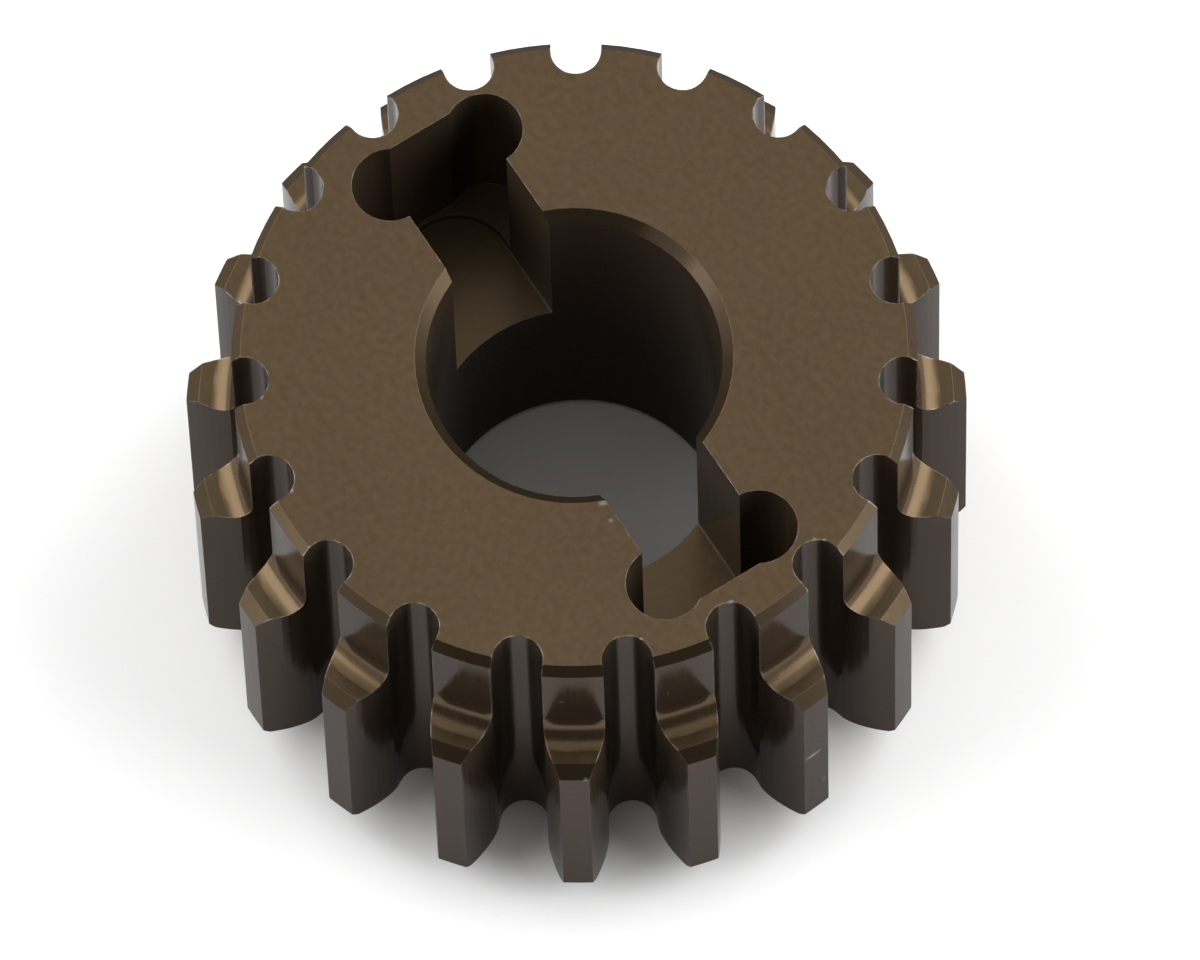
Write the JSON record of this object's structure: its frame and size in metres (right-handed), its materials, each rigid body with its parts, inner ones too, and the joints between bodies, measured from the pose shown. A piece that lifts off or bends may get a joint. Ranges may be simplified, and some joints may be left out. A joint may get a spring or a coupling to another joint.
{
  "type": "spur gear with notched hub and cross slot",
  "caption": "Short spur gear with a notched hub, a plain bore, and a cross slot with round corner reliefs for a drive key.",
  "frame": {"origin": "centre of the underside of the boss, on the bore axis", "axes": "+Z along the bore axis, from the boss towards the slotted hub face; X along the cross slot"},
  "size_m": [0.0212, 0.0211, 0.0132],
  "materials": {
    "gear_body": "bronze-brown hard anodised, satin faces and glossy cut walls"
  },
  "bodies": {
    "root": {"tail_drive_gear": "gear_body"}
  },
  "joints": []
}
